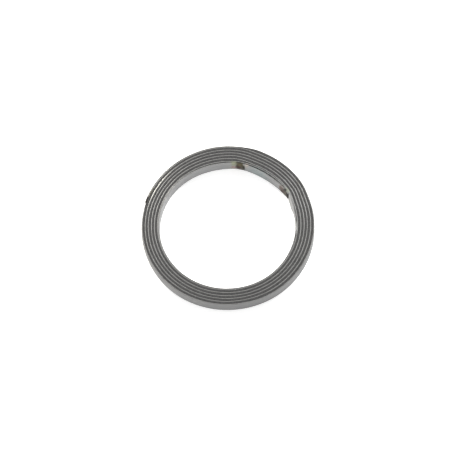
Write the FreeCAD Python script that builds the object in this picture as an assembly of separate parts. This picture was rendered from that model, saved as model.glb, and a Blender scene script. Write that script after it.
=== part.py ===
# Spiral-wound exhaust pipe gasket
# A flat ring wound on edge from one thin steel strip, with one graphite ribbon between its turns.
# Millimetres and degrees. The origin is on the ring's axis at its underside, and +Z is up.
import FreeCAD, Part
import math
import os

# Size of the ring: its bore, and the width of the steel strip, which stands on edge
BORE_RADIUS = 22.3
STRIP_WIDTH = 4.5

# Steel strip, and the play where two bare turns lie on each other
STRIP_THICKNESS = 0.3
BARE_PLAY = 0.04

# Graphite ribbon: its clearance to the steel on each side, and how far its edges lie below the steel's
RIBBON_THICKNESS = 0.66
RIBBON_CLEARANCE = 0.02
RIBBON_RECESS = 0.08

# Turns of bare steel at the bore, and turns of graphite that follow them
INNER_BARE_TURNS = 2
RIBBON_TURNS = 5

# Angles about +Z from +X where the strip starts, where the ribbon starts and ends, and where the strip ends
STRIP_START = 24.0
RIBBON_ENDS = 71.0
STRIP_END = 158.0

# Every turn climbs over the strip's start, and then over the ribbon's start
START_CLIMB_BEFORE = 12.0
START_CLIMB_AFTER = 2.0
START_SLACK = 0.03
RIBBON_CLIMB_BEFORE = 11.0
RIBBON_CLIMB_AFTER = 10.0

# The last turn stands out in a low shoulder just before the ribbon's end
SHOULDER_HEIGHT = 0.12
SHOULDER_BEFORE_END = 5.0
SHOULDER_REACH = 10.0

# The last full turn lies a little loose between the outer weld and the strip's start, and the
# ribbon under it, which is pressed less, is thicker by as much
OUTER_SLACK = 0.25
OUTER_SLACK_START = 160.0
OUTER_SLACK_END = 26.0
OUTER_SLACK_FADE = 14.0

# The inner turns spring into the bore: between the two inner welds, and on the far side of each
LEAD_BULGE = 0.75
LEAD_BULGE_END = 80.0
LEFT_BULGE = 0.46
LEFT_BULGE_PEAK = 96.0
LEFT_BULGE_FADE = 48.0
RIGHT_BULGE = 0.33
RIGHT_BULGE_PEAK = 2.0
RIGHT_BULGE_FADE = 70.0
BULGE_DECAY = 0.5

# Spot welds: radius of the fused nugget, and how far each one lies from the end that it holds
NUGGET_RADIUS = 0.9
START_WELD_OFFSET = 4.0
RIBBON_WELD_OFFSET = 4.5
END_WELD_OFFSET = 4.0

# How far round each short chord of an edge reaches. At this span it lies within 0.015 mm of the curve.
CHORD_SPAN = 3.6

# From the middle of one turn to the next, bare and with graphite between
BARE_PITCH = STRIP_THICKNESS + BARE_PLAY
FILLED_PITCH = STRIP_THICKNESS + RIBBON_THICKNESS + 2 * RIBBON_CLEARANCE
START_CLIMB = BARE_PITCH + START_SLACK

# Angles counted on along the winding. Turn 0 starts at RIBBON_ENDS, and the strip starts just before it.
FIRST_RIBBON_ANGLE = RIBBON_ENDS + 360 * INNER_BARE_TURNS
LAST_RIBBON_ANGLE = FIRST_RIBBON_ANGLE + 360 * RIBBON_TURNS
LAST_STRIP_ANGLE = LAST_RIBBON_ANGLE + STRIP_END - RIBBON_ENDS


def smooth_step(value, low, high):
    """A smooth rise from 0 at low to 1 at high."""
    share = min(max((value - low) / (high - low), 0.0), 1.0)
    return share * share * (3 - 2 * share)


def hump(distance, reach):
    """A smooth hump, 1 in the middle and 0 from reach on."""
    return (1 + math.cos(math.pi * min(abs(distance) / reach, 1.0))) / 2


def arch(angle, start, end):
    """A half-wave arch from start to end, and 0 outside them."""
    if not start < angle < end:
        return 0.0
    return math.sin(math.pi * (angle - start) / (end - start))


def inner_bulge(angle):
    """How far the innermost turn springs into the bore, at an angle from STRIP_START once round."""
    lead = LEAD_BULGE * arch(angle, STRIP_START, LEAD_BULGE_END)
    if angle < LEFT_BULGE_PEAK:
        left = LEFT_BULGE * arch(angle, RIBBON_ENDS, 2 * LEFT_BULGE_PEAK - RIBBON_ENDS)
    else:
        left = LEFT_BULGE * hump(angle - LEFT_BULGE_PEAK, LEFT_BULGE_FADE)
    peak = RIGHT_BULGE_PEAK + 360
    if angle < peak:
        right = RIGHT_BULGE * hump(angle - peak, RIGHT_BULGE_FADE)
    else:
        end = STRIP_START + 360
        right = RIGHT_BULGE * arch(angle, 2 * peak - end, end)
    return lead + left + right


def outer_slack(path_angle):
    """How much further out the last full turn lies than it would if it were wound tight."""
    start = LAST_RIBBON_ANGLE - 360 + OUTER_SLACK_START - RIBBON_ENDS
    end = LAST_RIBBON_ANGLE + OUTER_SLACK_END - RIBBON_ENDS
    rise = smooth_step(path_angle, start, start + OUTER_SLACK_FADE)
    fall = smooth_step(path_angle, end - OUTER_SLACK_FADE, end)
    return OUTER_SLACK * (rise - fall)


def filled_turns(turn):
    """How many turns of graphite lie inside a turn of the strip."""
    return min(max(turn + 1 - INNER_BARE_TURNS, 0), RIBBON_TURNS)


def even_radius(turn):
    """Middle of the strip in one turn, where nothing lifts it."""
    filled = filled_turns(turn)
    return BORE_RADIUS + STRIP_THICKNESS / 2 + (turn - filled) * BARE_PITCH + filled * FILLED_PITCH


def ribbon_climb(turn):
    """What is left to climb at the ribbon's start, from one turn to the next."""
    return even_radius(turn + 1) - even_radius(turn) - START_CLIMB


def strip_radius(path_angle):
    """Middle of the strip at an angle counted along the winding."""
    turn = math.floor((path_angle - RIBBON_ENDS) / 360)
    angle = path_angle - 360 * turn
    start = STRIP_START + 360
    low = RIBBON_ENDS - RIBBON_CLIMB_BEFORE
    high = RIBBON_ENDS + RIBBON_CLIMB_AFTER
    radius = even_radius(turn)
    radius += START_CLIMB * smooth_step(angle, start - START_CLIMB_BEFORE, start + START_CLIMB_AFTER)
    radius += ribbon_climb(turn) * smooth_step(angle - 360, low, high)
    radius -= ribbon_climb(turn - 1) * (1 - smooth_step(angle, low, high))
    shoulder = LAST_RIBBON_ANGLE - SHOULDER_BEFORE_END
    radius += SHOULDER_HEIGHT * hump(path_angle - shoulder, SHOULDER_REACH)
    radius += outer_slack(path_angle)
    turns_inside = turn
    round_angle = angle
    if angle > start:
        turns_inside += 1
        round_angle -= 360
    return radius - inner_bulge(round_angle) * BULGE_DECAY ** turns_inside


def edge_point(path_angle, offset, path_shift=0.0):
    """A point beside the middle of the strip. path_shift names the turn before or after."""
    radius = strip_radius(path_angle + path_shift) + offset
    turned = math.radians(path_angle)
    return FreeCAD.Vector(radius * math.cos(turned), radius * math.sin(turned), 0)


def named_angles(first, last):
    """Path angles from first to last at which an end of the strip or of the ribbon lies, in any turn."""
    marks = set()
    for turn in range(INNER_BARE_TURNS + RIBBON_TURNS + 1):
        marks.update(mark + 360 * turn for mark in (STRIP_START, RIBBON_ENDS, STRIP_END))
    return [first] + sorted(mark for mark in marks if first < mark < last) + [last]


def edge_points(first, last, offset, path_shift=0.0):
    """One edge of the strip between two path angles. Every turn has its points at the same angles."""
    points = [edge_point(first, offset, path_shift)]
    marks = named_angles(first, last)
    for low, high in zip(marks[:-1], marks[1:]):
        count = math.ceil((high - low) / CHORD_SPAN)
        for i in range(1, count + 1):
            points.append(edge_point(low + (high - low) * i / count, offset, path_shift))
    return points


def wound_solid(first, last, inner, outer, bottom, height):
    """A strip on edge between two path angles. inner and outer place its faces beside the steel's middle."""
    outline = edge_points(first, last, *inner) + edge_points(first, last, *outer)[::-1]
    face = Part.Face(Part.makePolygon(outline + outline[:1]))
    face.translate(FreeCAD.Vector(0, 0, bottom))
    return face.extrude(FreeCAD.Vector(0, 0, height))


def weld_nugget(path_angle):
    """Fused metal between the strip at a path angle and the same strip one turn further out."""
    inner = edge_point(path_angle, 0)
    outer = edge_point(path_angle, 0, 360)
    inner.z = STRIP_WIDTH / 2
    outer.z = STRIP_WIDTH / 2
    return Part.makeCylinder(NUGGET_RADIUS, (outer - inner).Length, inner, outer - inner)


def metal_winding():
    """The steel strip with its three spot welds."""
    half = STRIP_THICKNESS / 2
    strip = wound_solid(STRIP_START, LAST_STRIP_ANGLE, (-half,), (half,), 0, STRIP_WIDTH)
    nuggets = [
        weld_nugget(STRIP_START + START_WELD_OFFSET),
        weld_nugget(RIBBON_ENDS + RIBBON_WELD_OFFSET),
        weld_nugget(LAST_STRIP_ANGLE - END_WELD_OFFSET - 360),
    ]
    return strip.fuse(nuggets)


def graphite_filler():
    """The graphite ribbon, between each turn of the strip and the turn inside it."""
    beside = STRIP_THICKNESS / 2 + RIBBON_CLEARANCE
    inner = (beside, -360)
    outer = (-beside,)
    height = STRIP_WIDTH - 2 * RIBBON_RECESS
    return wound_solid(FIRST_RIBBON_ANGLE, LAST_RIBBON_ANGLE, inner, outer, RIBBON_RECESS, height)


def report(name, shape):
    """Print what a node measures."""
    box = shape.BoundBox
    print(f"{name}: valid {shape.isValid()}, solids {len(shape.Solids)}, faces {len(shape.Faces)},"
          f" volume {shape.Volume:.2f} mm3, x {box.XMin:.2f} to {box.XMax:.2f},"
          f" y {box.YMin:.2f} to {box.YMax:.2f}, z {box.ZMin:.2f} to {box.ZMax:.2f}")


os.makedirs("parts", exist_ok=True)
for name, make in (("metal_winding", metal_winding), ("graphite_filler", graphite_filler)):
    shape = make()
    report(name, shape)
    shape.exportStep(f"parts/{name}.step")
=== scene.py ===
# %% [markdown]
# # A spiral-wound exhaust gasket
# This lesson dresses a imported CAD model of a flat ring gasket. The ring is one thin stainless strip,
# wound on edge, with a soft graphite ribbon between its turns and three spot welds that hold it.
# The CAD model is loaded first and stays the frame: every piece made here sits where it says.

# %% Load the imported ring
import math
import bpy
from mathutils import Matrix, Vector, noise


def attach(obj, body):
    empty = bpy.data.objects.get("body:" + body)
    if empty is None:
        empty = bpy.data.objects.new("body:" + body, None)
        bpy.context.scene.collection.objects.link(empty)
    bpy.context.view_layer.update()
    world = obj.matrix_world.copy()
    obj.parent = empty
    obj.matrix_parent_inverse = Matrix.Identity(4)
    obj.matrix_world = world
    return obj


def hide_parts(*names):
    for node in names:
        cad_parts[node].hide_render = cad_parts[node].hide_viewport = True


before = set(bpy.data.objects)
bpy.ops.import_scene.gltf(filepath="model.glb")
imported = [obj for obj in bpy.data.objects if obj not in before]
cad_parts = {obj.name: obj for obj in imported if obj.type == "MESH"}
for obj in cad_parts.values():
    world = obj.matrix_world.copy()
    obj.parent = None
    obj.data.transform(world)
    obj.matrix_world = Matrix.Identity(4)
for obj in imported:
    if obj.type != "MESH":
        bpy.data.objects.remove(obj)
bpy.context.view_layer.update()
MM = 0.001

# %% [markdown]
# The camera comes first, so that each later step can be looked at from the photograph's place.
# A ring seen at a slant is an ellipse. Its proportions give the camera's height above the floor,
# and the slight lean of its long axis gives the camera's roll. Half a metre of distance makes the
# near side as much larger than the far side as it is in the photograph.

# %% Camera
RING_RADIUS = 28.0 * MM
CAMERA_DISTANCE = 18 * RING_RADIUS
CAMERA_ELEVATION = math.radians(66.39)
CAMERA_ROLL = math.radians(-5.14)
PHOTO_PIXELS = 456
RADIUS_IN_PIXELS = 85.80
RING_CENTRE_PIXEL = (228.17, 229.60)
SENSOR_WIDTH = 36.0
CLIP_START = 0.01

view_lens = SENSOR_WIDTH * RADIUS_IN_PIXELS * CAMERA_DISTANCE / RING_RADIUS / PHOTO_PIXELS
camera = bpy.data.objects.new("camera", bpy.data.cameras.new("camera"))
bpy.context.collection.objects.link(camera)
camera.data.sensor_width = SENSOR_WIDTH
camera.data.lens = view_lens
camera.data.shift_x = (PHOTO_PIXELS / 2 - RING_CENTRE_PIXEL[0]) / PHOTO_PIXELS
camera.data.shift_y = (RING_CENTRE_PIXEL[1] - PHOTO_PIXELS / 2) / PHOTO_PIXELS
camera.data.clip_start = CLIP_START
away = Vector((0, -math.cos(CAMERA_ELEVATION), math.sin(CAMERA_ELEVATION)))
turned = Matrix.Rotation(math.pi / 2 - CAMERA_ELEVATION, 4, "X") @ Matrix.Rotation(CAMERA_ROLL, 4, "Z")
camera.matrix_world = Matrix.Translation(away * CAMERA_DISTANCE) @ turned
bpy.context.scene.camera = camera
print("The lens is", round(view_lens, 1), "mm")

# %% [markdown]
# Everything in this ring follows one line: the path of the strip as it winds outwards. Seen from
# above, the path is a radius that depends on the angle, counted on past 360 degrees from turn to
# turn. It is worked out by a formula, with the same sizes as the CAD model, so that the strip, the
# ribbon and the welds all agree. Two bare turns lie at the bore, five turns hold graphite, and
# the last stretch is bare again.

# %% Sizes of the winding, in millimetres and degrees
BORE_RADIUS = 22.3
STRIP_WIDTH = 4.5
STRIP_THICKNESS = 0.3
BARE_PITCH = 0.34
FILLED_PITCH = 1.0
INNER_BARE_TURNS = 2
RIBBON_TURNS = 5
STRIP_START = 24.0
RIBBON_ENDS = 71.0
STRIP_END = 158.0
SECOND_PLY = STRIP_START + 360
FIRST_RIBBON_ANGLE = RIBBON_ENDS + 360 * INNER_BARE_TURNS
LAST_RIBBON_ANGLE = FIRST_RIBBON_ANGLE + 360 * RIBBON_TURNS
LAST_STRIP_ANGLE = LAST_RIBBON_ANGLE + STRIP_END - RIBBON_ENDS
LAST_TURN = LAST_RIBBON_ANGLE - 360 - RIBBON_ENDS

print("The strip is wound", round((LAST_STRIP_ANGLE - STRIP_START) / 360, 2), "times round")

# %% [markdown]
# Four small curves are enough to describe how a springy strip lies: a smooth rise, a rounded hump,
# half a wave between two ends, and a plateau that rises, stays and falls. Each goes from 0 to 1, so
# that a size in millimetres can be multiplied by it.

# %% Four curves that go from 0 to 1
def smooth_step(value, low, high):
    share = min(max((value - low) / (high - low), 0.0), 1.0)
    return share * share * (3 - 2 * share)


def hump(distance, reach):
    return (1 + math.cos(math.pi * min(abs(distance) / reach, 1.0))) / 2


def arch(angle, start, end):
    if not start < angle < end:
        return 0.0
    return math.sin(math.pi * (angle - start) / (end - start))


def plateau(value, start, end, fade):
    """A smooth rise from 0 to 1 after start, and a smooth fall back to 0 before end."""
    return smooth_step(value, start, start + fade) - smooth_step(value, end - fade, end)


print("Half-way up, the smooth rise is", smooth_step(5, 0, 10), "and the hump", round(hump(5, 10), 2))

# %% [markdown]
# Nothing holds the innermost turns from the bore's side, so they spring into it: most between the
# two inner welds, and less on the far side of each. Each turn further out follows half as much.

# %% How the inner turns spring into the bore
LEAD_BULGE = 0.75
LEAD_BULGE_END = 80.0
LEFT_BULGE = 0.46
LEFT_BULGE_PEAK = 96.0
LEFT_BULGE_FADE = 48.0
RIGHT_BULGE = 0.33
RIGHT_BULGE_PEAK = 362.0
RIGHT_BULGE_FADE = 70.0
BULGE_DECAY = 0.5


def inner_bulge(angle):
    bulge = LEAD_BULGE * arch(angle, STRIP_START, LEAD_BULGE_END)
    if angle < LEFT_BULGE_PEAK:
        bulge += LEFT_BULGE * arch(angle, RIBBON_ENDS, 2 * LEFT_BULGE_PEAK - RIBBON_ENDS)
    else:
        bulge += LEFT_BULGE * hump(angle - LEFT_BULGE_PEAK, LEFT_BULGE_FADE)
    if angle < RIGHT_BULGE_PEAK:
        bulge += RIGHT_BULGE * hump(angle - RIGHT_BULGE_PEAK, RIGHT_BULGE_FADE)
    else:
        bulge += RIGHT_BULGE * arch(angle, 2 * RIGHT_BULGE_PEAK - SECOND_PLY, SECOND_PLY)
    return bulge


print("The innermost turn springs in by", [round(inner_bulge(angle), 2) for angle in (52, 96, 200)], "mm")

# %% [markdown]
# The last full turn lies loose between the outer weld and the strip's start. On the right it stands
# off the turns inside it, and the turn under it follows by half as much.

# %% Where the last turn is loose, and where it stands off
LOOSE_FROM = 160.0
LOOSE_TO = 386.0
LOOSE_FADE = 14.0
SLACK = 0.16
SLACK_FROM = 270.0
SLACK_TO = 383.0
SLACK_FADE = 25.0


def last_turn_share(path_angle):
    """1 where the last full turn lies loose, outside everything else, and 0 elsewhere."""
    return plateau(path_angle - LAST_TURN, LOOSE_FROM, LOOSE_TO, LOOSE_FADE)


def slack_share(path_angle):
    """1 where the last full turn stands off on its right-hand side, and half of it a turn further in."""
    last = plateau(path_angle - LAST_TURN, SLACK_FROM, SLACK_TO, SLACK_FADE)
    return last + plateau(path_angle + 360 - LAST_TURN, SLACK_FROM, SLACK_TO, SLACK_FADE) / 2


print("At 330 degrees the last turn stands off by", round(SLACK * slack_share(LAST_TURN + 330), 2), "mm")

# %% [markdown]
# The path puts these together. In one turn the strip climbs over its own start, a step of one bare
# turn, and then over the ribbon's start, which takes the rest of the way up to the next turn. The
# last turn also stands out in a low shoulder just before the ribbon's end.

# %% The path of the strip
START_CLIMB = 0.37
START_CLIMB_FROM = 372.0
START_CLIMB_TO = 386.0
RIBBON_CLIMB_FROM = 60.0
RIBBON_CLIMB_TO = 81.0
SHOULDER_HEIGHT = 0.12
SHOULDER_REACH = 10.0
SHOULDER_BEFORE_END = 5.0


def even_radius(turn):
    filled = min(max(turn + 1 - INNER_BARE_TURNS, 0), RIBBON_TURNS)
    return BORE_RADIUS + STRIP_THICKNESS / 2 + (turn - filled) * BARE_PITCH + filled * FILLED_PITCH


def ribbon_climb(turn):
    return even_radius(turn + 1) - even_radius(turn) - START_CLIMB


def strip_radius(path_angle):
    turn = math.floor((path_angle - RIBBON_ENDS) / 360)
    angle = path_angle - 360 * turn
    radius = even_radius(turn)
    radius += START_CLIMB * smooth_step(angle, START_CLIMB_FROM, START_CLIMB_TO)
    radius += ribbon_climb(turn) * smooth_step(angle - 360, RIBBON_CLIMB_FROM, RIBBON_CLIMB_TO)
    radius -= ribbon_climb(turn - 1) * (1 - smooth_step(angle, RIBBON_CLIMB_FROM, RIBBON_CLIMB_TO))
    shoulder = LAST_RIBBON_ANGLE - SHOULDER_BEFORE_END
    radius += SHOULDER_HEIGHT * hump(path_angle - shoulder, SHOULDER_REACH)
    radius += SLACK * slack_share(path_angle)
    turns_inside = turn
    round_angle = angle
    if angle > SECOND_PLY:
        turns_inside += 1
        round_angle -= 360
    return radius - inner_bulge(round_angle) * BULGE_DECAY ** turns_inside


for place in (STRIP_START, FIRST_RIBBON_ANGLE, LAST_STRIP_ANGLE):
    print("At path angle", place, "the strip's middle is", round(strip_radius(place), 2), "mm from the axis")

# %% [markdown]
# A strip that has been wound, pressed and handled isn't perfect. Its turns sway a few hundredths
# of a millimetre in and out together, and each turn's edge stands a little higher or lower than
# the next. Smooth noise gives both. It is read on a circle, so that it has no seam, and the turn
# is its third coordinate, so that neighbouring turns are alike and never cross.

# %% Sway and uneven edges
SWAY = 0.014
SWAYS_ROUND = 2.6
SWAY_CHANGE = 0.12
SWAY_SEED = 5.0
EDGE_DROP = 0.05
EDGE_WAVES_ROUND = 4.0
EDGE_CHANGE = 0.9
TOP_SEED = 20.0
BOTTOM_SEED = 60.0


def ring_noise(path_angle, waves, turn_step, seed):
    turned_to = math.radians(path_angle)
    place = (waves * math.cos(turned_to), waves * math.sin(turned_to), seed + turn_step * path_angle / 360)
    return noise.noise(Vector(place))


def sway(path_angle):
    """Always inwards, so that the ring stays inside its CAD box."""
    return -SWAY * (1 + ring_noise(path_angle, SWAYS_ROUND, SWAY_CHANGE, SWAY_SEED))


def edge_drop(path_angle, seed):
    level = ring_noise(path_angle, EDGE_WAVES_ROUND, EDGE_CHANGE, seed)
    return EDGE_DROP * min(max(0.5 + level, 0.0), 1.0)


drops = [round(edge_drop(angle, TOP_SEED), 3) for angle in (30, 120, 210, 300)]
print("The first edge drops by", drops, "mm")

# %% [markdown]
# The strip could be a curve with a bevel object, but then its spot welds and its cut ends would be
# separate shapes. Here its section is walked along the path instead, and every section's points are
# joined to the next one's. The section is a thin upright rectangle. Slitting leaves one of its
# corners nearly sharp and rolls the other over, and a row of points close to each corner holds the
# flat wall's shading apart from the corner's. More points half-way up draw the shallow dish that an
# electrode has pressed. Sections lie closer together near the welds and the cut ends.

# %% The strip's section, and where it is dense
SHARP_CORNER = 0.03
ROLLED_CORNER = 0.1
CORNER_HOLD = 0.03
WALL_LEVELS = (3.6, 3.22, 2.9, 2.58, 2.25, 1.92, 1.6, 1.28, 0.9)
WELD_HEIGHT = STRIP_WIDTH / 2
START_WELD = STRIP_START + 4.0
RIBBON_WELD = RIBBON_ENDS + 4.5
END_WELD = LAST_STRIP_ANGLE - 4.0
SECTION_STEP = 1.25
FINE_STEP = 0.25
FINE_REACH = 5.0


def wall_points(side, corner):
    """Points down one wall of the strip: how far out from its middle, and how high."""
    half = STRIP_THICKNESS / 2
    cut = corner * (1 - math.sqrt(0.5))
    top = [(half - corner, STRIP_WIDTH), (half - cut, STRIP_WIDTH - cut), (half, STRIP_WIDTH - corner)]
    top.append((half, STRIP_WIDTH - corner - CORNER_HOLD))
    bottom = [(out, STRIP_WIDTH - level) for out, level in reversed(top)]
    points = top + [(half, level) for level in WALL_LEVELS] + bottom
    return [(side * out, level) for out, level in points]


def path_stations(first, last, fine_places):
    stations = [first]
    while stations[-1] < last:
        here = stations[-1]
        near = any(abs(here - place) < FINE_REACH for place in fine_places)
        stations.append(min(here + (FINE_STEP if near else SECTION_STEP), last))
    return stations


section = wall_points(-1, SHARP_CORNER) + wall_points(1, ROLLED_CORNER)[::-1]
fine_places = (STRIP_START, START_WELD, RIBBON_WELD, SECOND_PLY, END_WELD, LAST_STRIP_ANGLE)
strip_stations = path_stations(STRIP_START, LAST_STRIP_ANGLE, fine_places)
print("The section has", len(section), "points, and there are", len(strip_stations), "sections")

# %% [markdown]
# A spot weld leaves a round, shallow dish with a low raised rim, where the electrode's tip pressed
# hot metal aside. Two of them show on the bore's wall and one on the outside.

# %% Electrode marks pressed into the strip
DISH_RADIUS = 0.95
DISH_DEPTH = 0.06
RIM_WIDTH = 0.45
RIM_HEIGHT = 0.02


def dish(path_angle, level, weld_angle):
    along = math.radians(path_angle - weld_angle) * strip_radius(weld_angle)
    distance = math.hypot(along, level - WELD_HEIGHT)
    depth = DISH_DEPTH * hump(distance, DISH_RADIUS)
    return depth - RIM_HEIGHT * hump(distance - DISH_RADIUS, RIM_WIDTH)


def pressed(path_angle, out, level):
    """How far a point of the section is pushed outwards (inwards, if less than nothing)."""
    if out < 0:
        return sum(dish(path_angle, level, weld) for weld in (START_WELD, RIBBON_WELD))
    return -dish(path_angle, level, END_WELD)


print("The dish is", round(dish(START_WELD, WELD_HEIGHT, START_WELD), 3), "mm deep")

# %% [markdown]
# Nothing holds the wall of the innermost turn from the bore's side, nor that of the last turn from
# outside. Pressed on their edges, both walls bow a little at half their height, away from the
# turns behind them, and the welds hold them flat. The last turn also leans: its foot stands further
# out than its top. So does the second ply, which leans into the bore at its foot just before it
# meets the strip's start.

# %% How the two free walls bow and lean
BOW_IN = 0.13
BOW_IN_FADE = 6.0
BOW_OUT = 0.17
LEAN_OUT = 0.12
TIP_LEAN = 0.33
TIP_LEAN_FROM = 368.0
TIP_LEAN_RISE = 8.0
TIP_LEAN_FADE = 1.5


def bowed(path_angle, level):
    """How far a place on the strip's wall lies outwards of its top edge."""
    share = level / STRIP_WIDTH
    by_height = 1 - (2 * share - 1) ** 2
    slack = min(slack_share(path_angle), 1.0)
    outwards = BOW_OUT * by_height * (1 - slack) + LEAN_OUT * (1 - share) * (1 - slack / 2)
    inwards = BOW_IN * by_height * plateau(path_angle, RIBBON_WELD, SECOND_PLY, BOW_IN_FADE)
    leaning = smooth_step(path_angle, TIP_LEAN_FROM, TIP_LEAN_FROM + TIP_LEAN_RISE)
    leaning -= smooth_step(path_angle, SECOND_PLY - TIP_LEAN_FADE, SECOND_PLY)
    inwards += TIP_LEAN * (1 - share) * leaning
    return outwards * last_turn_share(path_angle) - inwards


print("Half-way up at 180 degrees, the innermost turn bows by", round(bowed(180, STRIP_WIDTH / 2), 2), "mm")

# %% [markdown]
# The walk itself is a short function that any long, thin piece can use: it takes a list of
# sections, each a closed ring of points in millimetres, and makes one closed mesh of them. It also
# stores on each point how far along the piece it lies, because a material can then draw its
# rolling lines along the strip, wherever the strip goes.

# %% Join sections into one closed mesh
SHARP_FROM = math.radians(50)


def walk(name, rings, along):
    count = len(rings[0])
    points = [tuple(value * MM for value in point) for ring in rings for point in ring]
    faces = [tuple(range(count))]
    for i in range(len(rings) - 1):
        for j in range(count):
            k = (j + 1) % count
            faces.append((i * count + j, (i + 1) * count + j, (i + 1) * count + k, i * count + k))
    last = (len(rings) - 1) * count
    faces.append(tuple(reversed(range(last, last + count))))
    mesh = bpy.data.meshes.new(name)
    mesh.from_pydata(points, [], faces)
    mesh.validate()
    mesh.shade_smooth()
    mesh.set_sharp_from_angle(angle=SHARP_FROM)
    along_mm = mesh.attributes.new("along_mm", "FLOAT", "POINT")
    along_mm.data.foreach_set("value", [distance for distance in along for _ in range(count)])
    piece = bpy.data.objects.new(name, mesh)
    bpy.context.collection.objects.link(piece)
    mesh.calc_loop_triangles()
    print(name, "has", len(mesh.loop_triangles), "triangles and is", round(along[-1]), "mm long")
    return piece


def ring_point(path_angle, radius, level):
    turned_to = math.radians(path_angle)
    return (radius * math.cos(turned_to), radius * math.sin(turned_to), level)


def lengths_along(stations):
    """How far along the strip each station lies."""
    lengths = [0.0]
    for low, high in zip(stations[:-1], stations[1:]):
        lengths.append(lengths[-1] + math.radians(high - low) * strip_radius((low + high) / 2))
    return lengths


# %% [markdown]
# Now the strip can be made. Each section takes its place from the path, its heights from the uneven
# edges, and its walls from the electrode marks, the bow and the lean.

# %% Make the strip
def strip_section(path_angle):
    middle = strip_radius(path_angle) + sway(path_angle)
    top_drop = edge_drop(path_angle, TOP_SEED)
    bottom_rise = edge_drop(path_angle, BOTTOM_SEED)
    ring = []
    for out, level in section:
        share = level / STRIP_WIDTH
        height = level + bottom_rise * (1 - share) - top_drop * share
        radius = middle + out + pressed(path_angle, out, level) + bowed(path_angle, level)
        ring.append(ring_point(path_angle, radius, height))
    return ring


strip_rings = [strip_section(angle) for angle in strip_stations]
strip = walk("wound_strip", strip_rings, lengths_along(strip_stations))
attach(strip, "root")
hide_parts("metal_winding")

# %% [markdown]
# The ribbon is flexible graphite, a soft foil pressed from flakes. Winding squeezes it between two
# turns of steel, so it fills the gap from wall to wall, its edges lie a little below the steel's,
# and its face is torn and grainy and not cut clean. Its section has a row of points across each
# edge, which noise moves up and down by a few hundredths of a millimetre.

# %% Make the graphite ribbon
RIBBON_RECESS = 0.09
RIBBON_PLAY = 0.004
RIBBON_CROWN = 0.03
LEAST_RECESS = 0.02
GRAIN = 0.035
GRAIN_SIZE = 0.45
GRAIN_SEED_TOP = 3.0
GRAIN_SEED_BOTTOM = 33.0
FINE_GRAIN_SEED = 9
ACROSS = (0.0, 0.08, 0.22, 0.4, 0.6, 0.78, 0.92, 1.0)
EDGE_SINK = 0.03
RIBBON_STEP = 0.6


def ribbon_face(path_angle, radius, share, seed):
    """How far the ribbon's edge lies inside the strip's, at a share of the way across."""
    x, y, _ = ring_point(path_angle, radius / GRAIN_SIZE, 0)
    coarse = noise.noise(Vector((x, y, seed)))
    fine = noise.noise(Vector((2 * x, 2 * y, seed + FINE_GRAIN_SEED)))
    crown = RIBBON_CROWN * math.sin(math.pi * share)
    sunk = EDGE_SINK if share in (0.0, 1.0) else 0.0
    return max(RIBBON_RECESS - crown + sunk - GRAIN * (coarse + fine / 2), LEAST_RECESS)


def ribbon_section(path_angle):
    beside = STRIP_THICKNESS / 2 + RIBBON_PLAY
    low = strip_radius(path_angle - 360) + sway(path_angle - 360) + beside
    high = strip_radius(path_angle) + sway(path_angle) - beside
    bottom = []
    top = []
    for share in ACROSS:
        radius = low + (high - low) * share
        inset = ribbon_face(path_angle, radius, share, GRAIN_SEED_TOP)
        top.append(ring_point(path_angle, radius, STRIP_WIDTH - inset))
        inset = ribbon_face(path_angle, radius, share, GRAIN_SEED_BOTTOM)
        bottom.append(ring_point(path_angle, radius, inset))
    return bottom + top[::-1]


ribbon_count = round((LAST_RIBBON_ANGLE - FIRST_RIBBON_ANGLE) / RIBBON_STEP)
ribbon_stations = [FIRST_RIBBON_ANGLE + RIBBON_STEP * i for i in range(ribbon_count + 1)]
ribbon_rings = [ribbon_section(angle) for angle in ribbon_stations]
ribbon = walk("graphite_ribbon", ribbon_rings, lengths_along(ribbon_stations))
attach(ribbon, "root")
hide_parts("graphite_filler")

# %% [markdown]
# Colours are picked from a screen as sRGB hex values, but a shader works with linear light, so one
# function turns them. A second one adds a node to a material with its settings and its links, so
# that each material below reads as a list of what goes into what.

# %% Two helpers for materials
def linear(hex_colour):
    channels = [int(hex_colour[i:i + 2], 16) / 255 for i in (1, 3, 5)]
    return [c / 12.92 if c <= 0.04045 else ((c + 0.055) / 1.055) ** 2.4 for c in channels] + [1.0]


def add_node(tree, kind, settings=None, links=None):
    node = tree.nodes.new(kind)
    for name, value in (settings or {}).items():
        if isinstance(name, str) and hasattr(node, name):
            setattr(node, name, value)
        else:
            node.inputs[name].default_value = value
    for name, socket in (links or {}).items():
        tree.links.new(socket, node.inputs[name])
    return node


print("Middle grey is", [round(value, 3) for value in linear("#808080")])

# %% [markdown]
# ## Stainless steel strip
# The strip is cold-rolled stainless steel, 0.3 mm thick, with a plain mill finish. Rolling leaves
# fine lines along its length and a soft grey sheen that clouds a little from place to place. A
# brushed texture could be painted in an image, but noise that is stretched along the strip by the
# stored length never repeats and bends with every turn. Real rolling lines are a few hundredths of
# a millimetre wide, which wouldn't show, so they are drawn about a tenth wide.

# %% Stainless steel, cold-rolled: its walls
STEEL = "#9D9D9D"
STEEL_DULL = "#909090"
# Painted shade: the darker colour of the outside wall
STEEL_PAINTED_SHADE = "#828282"
ROLL_LINE_WIDTH = 0.12
ROLL_LINE_LENGTH = 9.0
CLOUD_SIZE = 6.0
DULL_RANGE = {"From Min": 0.15, "From Max": 0.4}
OUTSIDE_RANGE = {"From Min": 27.85, "From Max": 27.92}

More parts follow.
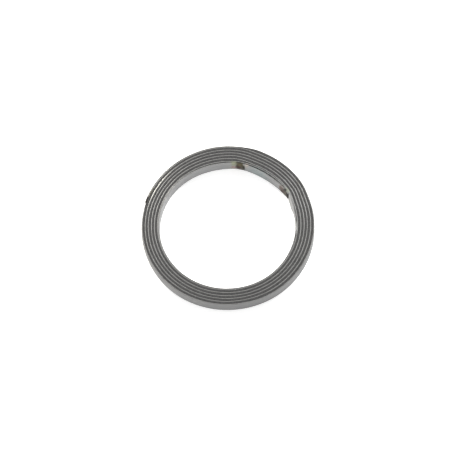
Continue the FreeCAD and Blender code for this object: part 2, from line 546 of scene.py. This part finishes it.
steel = bpy.data.materials.new("cold_rolled_stainless_steel")
steel.use_nodes = True
tree = steel.node_tree
shader = tree.nodes["Principled BSDF"]
shader.inputs["Metallic"].default_value = 1.0
place = add_node(tree, "ShaderNodeTexCoord")
mm_settings = {"operation": "SCALE", "Scale": 1 / MM}
in_mm = add_node(tree, "ShaderNodeVectorMath", mm_settings, {0: place.outputs["Object"]})
axes = add_node(tree, "ShaderNodeSeparateXYZ", None, {0: in_mm.outputs[0]})
along = add_node(tree, "ShaderNodeAttribute", {"attribute_name": "along_mm"})

# Rolling lines run along the strip, and clouds make them fainter here and there
rolled = add_node(tree, "ShaderNodeCombineXYZ", None, {0: along.outputs["Fac"], 1: axes.outputs["Z"]})
rolled_settings = {"operation": "MULTIPLY", 1: (1 / ROLL_LINE_LENGTH, 1 / ROLL_LINE_WIDTH, 1)}
line_place = add_node(tree, "ShaderNodeVectorMath", rolled_settings, {0: rolled.outputs[0]})
line_settings = {"Scale": 1.0, "Detail": 3.0}
lines = add_node(tree, "ShaderNodeTexNoise", line_settings, {"Vector": line_place.outputs[0]})
cloud_settings = {"Scale": 1 / CLOUD_SIZE, "Detail": 2.0}
clouds = add_node(tree, "ShaderNodeTexNoise", cloud_settings, {"Vector": in_mm.outputs[0]})
mottle_links = {0: lines.outputs["Fac"], 1: clouds.outputs["Fac"]}
mottle = add_node(tree, "ShaderNodeMath", {"operation": "MULTIPLY"}, mottle_links)
dull_share = add_node(tree, "ShaderNodeMapRange", DULL_RANGE, {"Value": mottle.outputs[0]})
plain_settings = {"data_type": "RGBA", 6: linear(STEEL_DULL), 7: linear(STEEL)}
plain = add_node(tree, "ShaderNodeMix", plain_settings, {0: dull_share.outputs[0]})

# The outside wall is painted a little darker. This is painted shade for the shadowed floor beside it, which
# the wall reflects
flat_settings = {"operation": "MULTIPLY", 1: (1, 1, 0)}
from_axis = add_node(tree, "ShaderNodeVectorMath", flat_settings, {0: in_mm.outputs[0]})
radius = add_node(tree, "ShaderNodeVectorMath", {"operation": "LENGTH"}, {0: from_axis.outputs[0]})
on_outside = add_node(tree, "ShaderNodeMapRange", OUTSIDE_RANGE, {"Value": radius.outputs["Value"]})
shaded_outside_settings = {"data_type": "RGBA", 7: linear(STEEL_PAINTED_SHADE)}
shaded_outside_links = {0: on_outside.outputs[0], 6: plain.outputs[2]}
shaded_outside = add_node(tree, "ShaderNodeMix", shaded_outside_settings, shaded_outside_links)
print("The steel's walls have", len(tree.nodes), "nodes")

# %% [markdown]
# The strip is slit from a wide coil. Its edges are darker than its walls, though handling has
# smoothed them enough to glint, and graphite rubs off on them in small traces. A point belongs to
# an edge where the surface looks up or down, so the normal tells edges from walls. On one turn, a
# short stretch of the edge is painted near-white: a painted highlight that stands in for a glint.

# %% Slit edges with traces of graphite
SLIT_EDGE = "#7C7C7B"
GRAPHITE_TRACE = "#5A5A57"
EDGE_TRACE_SIZE = 0.8
FACING_RANGE = {"From Min": 0.3, "From Max": 0.8}
TRACE_RANGE = {"From Min": 0.52, "From Max": 0.75, "To Max": 0.6}
# Painted highlight: a near-white colour on a short stretch of one turn's edge stands in for a glint
PAINTED_GLINT = "#BFBFB9"
PAINTED_GLINT_ANGLE = 144.0 + 360 * 5
PAINTED_GLINT_REACH = 10.0

facing = add_node(tree, "ShaderNodeSeparateXYZ", None, {0: place.outputs["Normal"]})
upright = add_node(tree, "ShaderNodeMath", {"operation": "ABSOLUTE"}, {0: facing.outputs["Z"]})
on_edge = add_node(tree, "ShaderNodeMapRange", FACING_RANGE, {"Value": upright.outputs[0]})
edged_settings = {"data_type": "RGBA", 7: linear(SLIT_EDGE)}
edged = add_node(tree, "ShaderNodeMix", edged_settings, {0: on_edge.outputs[0], 6: shaded_outside.outputs[2]})
smear_settings = {"Scale": 1 / EDGE_TRACE_SIZE, "Detail": 3.0}
traces = add_node(tree, "ShaderNodeTexNoise", smear_settings, {"Vector": in_mm.outputs[0]})
trace_share = add_node(tree, "ShaderNodeMapRange", TRACE_RANGE, {"Value": traces.outputs["Fac"]})
smeared_links = {0: on_edge.outputs[0], 1: trace_share.outputs[0]}
smeared = add_node(tree, "ShaderNodeMath", {"operation": "MULTIPLY"}, smeared_links)
trace_settings = {"data_type": "RGBA", 7: linear(GRAPHITE_TRACE)}
base = add_node(tree, "ShaderNodeMix", trace_settings, {0: smeared.outputs[0], 6: edged.outputs[2]})

# The painted highlight is found by its length along the strip
painted_glint_at = lengths_along(path_stations(STRIP_START, PAINTED_GLINT_ANGLE, ()))[-1]
off_settings = {"operation": "SUBTRACT", 1: painted_glint_at}
off_glint = add_node(tree, "ShaderNodeMath", off_settings, {0: along.outputs["Fac"]})
glint_gap = add_node(tree, "ShaderNodeMath", {"operation": "ABSOLUTE"}, {0: off_glint.outputs[0]})
glint_range = {"From Max": PAINTED_GLINT_REACH, "To Min": 1.0, "To Max": 0.0}
glint_range["interpolation_type"] = "SMOOTHSTEP"
glint_share = add_node(tree, "ShaderNodeMapRange", glint_range, {"Value": glint_gap.outputs[0]})
glint_links = {0: glint_share.outputs[0], 1: on_edge.outputs[0]}
glint_mask = add_node(tree, "ShaderNodeMath", {"operation": "MULTIPLY"}, glint_links)
glint_settings = {"data_type": "RGBA", 7: linear(PAINTED_GLINT)}
glinted = add_node(tree, "ShaderNodeMix", glint_settings, {0: glint_mask.outputs[0], 6: base.outputs[2]})
print("The bright stretch lies", round(painted_glint_at), "mm along the strip")

# %% [markdown]
# Round each weld the heat has grown an oxide film. Its colour tells its thickness: nearly
# black-brown, maroon and olive where it is thick, then straw, a pinkish grey and a faint blue where
# it gets thin. Each mark is an oval spot in the ring's own space, longer along the strip than
# across it, and noise frays its border. Thick oxide is rougher than bare steel, and not a metal.
# Painting the marks on an image would need a flat layout of a strip more than a metre long, and
# most of it would stay empty.

# %% Heat marks at the welds
FRAY_SIZE = 1.1
FRAY_RANGE = {"From Min": 0.3, "From Max": 0.7, "To Min": -0.2, "To Max": 0.2}
OXIDE_BLACK = "#1E1916"
OXIDE_BROWN = "#3A2E2A"
OXIDE_MAROON = "#4E3A36"
OXIDE_OLIVE = "#4E4935"
OXIDE_GREY = "#555047"
OXIDE_TAN = "#6A5E46"
OLIVE = "#90937C"
SAGE = "#868B7B"
STRAW = "#A8A098"
ROSE = "#9C8A86"
ROSE_DARK = "#62554F"
BLUE = "#8A9797"
DARK_OXIDES = (OXIDE_BLACK, OXIDE_BROWN, OXIDE_OLIVE)

# Each mark: angle, radius, height, its reach outwards, along and up, its colour, strength and softness
HEAT_MARKS = (
    (57.0, 21.8, 2.2, (1.5, 5.5, 3.5), BLUE, 0.6, 0.3),
    (79.9, 22.1, 4.0, (0.9, 1.2, 2.0), OLIVE, 0.85, 0.5),
    (80.0, 21.9, 1.5, (0.8, 1.2, 1.3), ROSE, 1.0, 0.5),
    (68.8, 22.1, 3.9, (0.8, 0.9, 1.9), STRAW, 0.8, 0.4),
    (74.8, 22.0, 2.9, (0.8, 1.95, 2.6), OXIDE_OLIVE, 1.0, 0.7),
    (74.9, 22.2, 4.6, (0.5, 1.5, 0.5), OXIDE_BLACK, 0.5, 0.3),
    (75.2, 21.9, 3.7, (0.6, 1.0, 0.7), OXIDE_TAN, 0.9, 0.3),
    (76.4, 21.9, 1.6, (0.8, 1.4, 1.2), OXIDE_MAROON, 1.0, 0.5),
    (72.8, 21.9, 1.5, (0.8, 1.0, 1.7), OXIDE_GREY, 0.8, 0.4),
    (71.6, 22.0, 1.9, (0.7, 0.6, 1.9), OXIDE_BLACK, 0.8, 0.3),
    (26.6, 22.8, 4.5, (0.7, 1.2, 1.5), SAGE, 0.6, 0.5),
    (28.6, 22.2, 2.2, (0.7, 2.3, 2.8), OXIDE_GREY, 1.0, 0.7),
    (32.4, 22.1, 2.3, (0.8, 1.2, 2.6), ROSE_DARK, 1.0, 0.7),
    (33.0, 22.1, 0.3, (0.7, 0.9, 0.6), OXIDE_BROWN, 0.9, 0.3),
    (31.4, 22.1, 1.4, (0.7, 0.9, 0.8), OXIDE_BROWN, 1.0, 0.4),
    (29.6, 22.2, 2.8, (0.7, 0.9, 0.8), OXIDE_BROWN, 1.0, 0.4),
    (27.8, 22.2, 4.1, (0.8, 0.8, 1.0), OXIDE_BLACK, 1.0, 0.4),
    (24.9, 22.3, 2.2, (0.6, 0.8, 3.0), OXIDE_BLACK, 1.0, 0.5),
    (151.0, 27.4, 4.5, (0.5, 3.0, 1.6), OXIDE_OLIVE, 1.0, 0.6),
    (155.0, 28.6, 2.3, (0.8, 2.6, 2.6), OLIVE, 0.6, 0.3),
    (155.8, 28.4, 2.8, (1.1, 2.0, 2.6), OXIDE_BROWN, 1.0, 0.5),
    (155.2, 28.4, 2.3, (0.9, 1.2, 1.4), OXIDE_TAN, 0.8, 0.2),
    (157.2, 28.0, 4.2, (0.9, 2.7, 1.5), OXIDE_BLACK, 1.0, 0.6),
    (160.0, 27.7, 4.3, (0.7, 2.0, 1.6), OXIDE_BLACK, 0.9, 0.5),
    (27.0, 26.8, 4.5, (0.7, 1.0, 0.5), OXIDE_OLIVE, 0.6, 0.3),
)

fray_settings = {"Scale": 1 / FRAY_SIZE, "Detail": 3.0}
fray = add_node(tree, "ShaderNodeTexNoise", fray_settings, {"Vector": in_mm.outputs[0]})
frayed = add_node(tree, "ShaderNodeMapRange", FRAY_RANGE, {"Value": fray.outputs["Fac"]})
colour = glinted.outputs[2]
oxide = None
for angle, radius, level, reach, hex_colour, strength, soft_from in HEAT_MARKS:
    spot_settings = {"vector_type": "TEXTURE", "Location": ring_point(angle, radius, level), "Scale": reach}
    spot_settings["Rotation"] = (0, 0, math.radians(angle))
    spot = add_node(tree, "ShaderNodeMapping", spot_settings, {"Vector": in_mm.outputs[0]})
    far = add_node(tree, "ShaderNodeVectorMath", {"operation": "LENGTH"}, {0: spot.outputs[0]})
    ragged_links = {0: far.outputs["Value"], 1: frayed.outputs[0]}
    ragged = add_node(tree, "ShaderNodeMath", {"operation": "ADD"}, ragged_links)
    fade_range = {"From Min": soft_from, "From Max": 1.0, "To Min": strength, "To Max": 0.0}
    fade = add_node(tree, "ShaderNodeMapRange", fade_range, {"Value": ragged.outputs[0]})
    tint_settings = {"data_type": "RGBA", 7: linear(hex_colour)}
    tinted = add_node(tree, "ShaderNodeMix", tint_settings, {0: fade.outputs[0], 6: colour})
    colour = tinted.outputs[2]
    if hex_colour in DARK_OXIDES:
        so_far = {0: fade.outputs[0]} if oxide is None else {0: fade.outputs[0], 1: oxide.outputs[0]}
        oxide = add_node(tree, "ShaderNodeMath", {"operation": "MAXIMUM"}, so_far)
tree.links.new(colour, shader.inputs["Base Color"])
print("There are", len(HEAT_MARKS), "heat marks")

# %% [markdown]
# Roughness says how wide a highlight spreads. The rolling lines vary it a little on the walls, the
# edges are smoother and the oxide is rougher. The same lines also give a very shallow bump, which
# breaks up the reflections along the strip. Their depth is too small to be worth modelling.

# %% How rough and how metallic the steel is
WALL_ROUGHNESS = {"To Min": 0.38, "To Max": 0.5}
EDGE_ROUGHNESS_CHANGE = -0.16
OXIDE_ROUGHNESS_CHANGE = 0.35
OXIDE_METALLIC = 0.35
ROLL_LINE_DEPTH = 0.004
ROLL_LINE_BUMP = 0.25

rough = add_node(tree, "ShaderNodeMapRange", WALL_ROUGHNESS, {"Value": lines.outputs["Fac"]})
edge_settings = {"operation": "MULTIPLY_ADD", 1: EDGE_ROUGHNESS_CHANGE}
edge_links = {0: on_edge.outputs[0], 2: rough.outputs[0]}
edge_rough = add_node(tree, "ShaderNodeMath", edge_settings, edge_links)
heat_settings = {"operation": "MULTIPLY_ADD", 1: OXIDE_ROUGHNESS_CHANGE}
heat_links = {0: oxide.outputs[0], 2: edge_rough.outputs[0]}
heat_rough = add_node(tree, "ShaderNodeMath", heat_settings, heat_links)
tree.links.new(heat_rough.outputs[0], shader.inputs["Roughness"])
metal_range = {"To Min": 1.0, "To Max": OXIDE_METALLIC}
metal_share = add_node(tree, "ShaderNodeMapRange", metal_range, {"Value": oxide.outputs[0]})
tree.links.new(metal_share.outputs[0], shader.inputs["Metallic"])
bump_settings = {"Strength": ROLL_LINE_BUMP, "Distance": ROLL_LINE_DEPTH * MM}
bump = add_node(tree, "ShaderNodeBump", bump_settings, {"Height": lines.outputs["Fac"]})
tree.links.new(bump.outputs[0], shader.inputs["Normal"])
strip.data.materials.append(steel)
print("The steel has", len(tree.nodes), "nodes")

# %% [markdown]
# ## Flexible graphite ribbon
# Flexible graphite is pressed from expanded flakes with no binder. It is a soft dark grey and dull.
# A faint metallic sheen where flakes lie flat is painted into its colour as lighter flecks, a painted
# sheen. Its grain is drawn at about a third of a millimetre, which is coarser than real flakes, because
# finer grain wouldn't show.

# %% Flexible graphite, pressed and torn at its edge
GRAPHITE = "#393939"
GRAPHITE_DEEP = "#242424"
# Painted sheen: lighter flecks in the colour where flakes lie flat
GRAPHITE_PAINTED_SHEEN = "#494949"
GRAPHITE_SPECULAR = 0.3
FLAKE_SIZE = 0.35
FLAKE_DEPTH = 0.02
FLAKE_BUMP = 0.5
DEEP_RANGE = {"From Min": 0.35, "From Max": 0.62}
PAINTED_SHEEN_RANGE = {"From Min": 0.32, "From Max": 0.1, "To Max": 0.5}
GRAIN_ROUGHNESS = {"To Min": 0.72, "To Max": 0.5}

graphite = bpy.data.materials.new("flexible_graphite")
graphite.use_nodes = True
tree = graphite.node_tree
shader = tree.nodes["Principled BSDF"]
shader.inputs["Specular IOR Level"].default_value = GRAPHITE_SPECULAR
place = add_node(tree, "ShaderNodeTexCoord")
in_mm = add_node(tree, "ShaderNodeVectorMath", mm_settings, {0: place.outputs["Object"]})
grain_settings = {"Scale": 1 / FLAKE_SIZE, "Detail": 4.0}
grain = add_node(tree, "ShaderNodeTexNoise", grain_settings, {"Vector": in_mm.outputs[0]})
flake_settings = {"Scale": 1 / FLAKE_SIZE}
flakes = add_node(tree, "ShaderNodeTexVoronoi", flake_settings, {"Vector": in_mm.outputs[0]})
deep_share = add_node(tree, "ShaderNodeMapRange", DEEP_RANGE, {"Value": grain.outputs["Fac"]})
body_settings = {"data_type": "RGBA", 6: linear(GRAPHITE_DEEP), 7: linear(GRAPHITE)}
body = add_node(tree, "ShaderNodeMix", body_settings, {0: deep_share.outputs[0]})
painted_sheen_share = add_node(tree, "ShaderNodeMapRange", PAINTED_SHEEN_RANGE, {"Value": flakes.outputs["Distance"]})
painted_sheen_settings = {"data_type": "RGBA", 7: linear(GRAPHITE_PAINTED_SHEEN)}
painted_sheen_links = {0: painted_sheen_share.outputs[0], 6: body.outputs[2]}
with_painted_sheen = add_node(tree, "ShaderNodeMix", painted_sheen_settings, painted_sheen_links)
tree.links.new(with_painted_sheen.outputs[2], shader.inputs["Base Color"])
grain_rough = add_node(tree, "ShaderNodeMapRange", GRAIN_ROUGHNESS, {"Value": grain.outputs["Fac"]})
tree.links.new(grain_rough.outputs[0], shader.inputs["Roughness"])
bump_settings = {"Strength": FLAKE_BUMP, "Distance": FLAKE_DEPTH * MM}
bump = add_node(tree, "ShaderNodeBump", bump_settings, {"Height": grain.outputs["Fac"]})
tree.links.new(bump.outputs[0], shader.inputs["Normal"])
ribbon.data.materials.append(graphite)
print("The graphite has", len(tree.nodes), "nodes")

# %% [markdown]
# ## Floor and light
# The photograph has a white ground with no shadow, as on a light table. So the floor is a plain
# pale square that glows a little, which fills the shadows and lights the strip's walls from below.

# %% Floor
FLOOR_HALF = 0.6
FLOOR_DROP = 0.01
FLOOR_ROUGHNESS = 0.9
FLOOR_GLOW = 0.55

floor_mesh = bpy.data.meshes.new("floor")
corner_signs = ((-1, -1), (1, -1), (1, 1), (-1, 1))
corners = [(x * FLOOR_HALF, y * FLOOR_HALF, 0) for x, y in corner_signs]
floor_mesh.from_pydata(corners, [], [(0, 1, 2, 3)])
floor = bpy.data.objects.new("floor", floor_mesh)
bpy.context.collection.objects.link(floor)
floor.location.z = -FLOOR_DROP * MM
paper = bpy.data.materials.new("pale_paper")
paper.use_nodes = True
shader = paper.node_tree.nodes["Principled BSDF"]
shader.inputs["Base Color"].default_value = linear("#F4F4F2")
shader.inputs["Roughness"].default_value = FLOOR_ROUGHNESS
shader.inputs["Emission Color"].default_value = linear("#FFFFFF")
shader.inputs["Emission Strength"].default_value = FLOOR_GLOW
floor_mesh.materials.append(paper)
print("The floor is", 2 * FLOOR_HALF, "m wide")

# %% [markdown]
# A soft sky gives even light from all round. Two low lamps stand behind the ring: a softbox on the
# right draws the long highlights on the turns' edges there, and a smaller, slightly warm one at the
# back left draws the bright line on the far turns.

# %% Light
SKY_STRENGTH = 0.68


def soft_light(name, side, distance, azimuth, elevation, power, hex_colour):
    """A square light with a side and a distance in metres, aimed at the ring."""
    light = bpy.data.lights.new(name, "AREA")
    light.shape = "SQUARE"
    light.size = side
    light.energy = power
    light.color = linear(hex_colour)[:3]
    lamp = bpy.data.objects.new(name, light)
    bpy.context.collection.objects.link(lamp)
    flat = math.cos(math.radians(elevation))
    up = math.sin(math.radians(elevation))
    turned_to = math.radians(azimuth)
    towards = Vector((flat * math.cos(turned_to), flat * math.sin(turned_to), up))
    lamp.location = towards * distance
    lamp.rotation_euler = towards.to_track_quat("Z", "Y").to_euler()


world = bpy.data.worlds.new("soft_sky")
bpy.context.scene.world = world
world.use_nodes = True
sky = world.node_tree.nodes["Background"]
sky.inputs["Color"].default_value = linear("#F9F9FB")
sky.inputs["Strength"].default_value = SKY_STRENGTH
soft_light("right_softbox", 0.25, 0.8, 45, 32, 6.9, "#FFFFFF")
soft_light("back_left_lamp", 0.12, 0.8, 125, 35, 7.2, "#FFFBF4")
bpy.context.scene.view_settings.view_transform = "Standard"
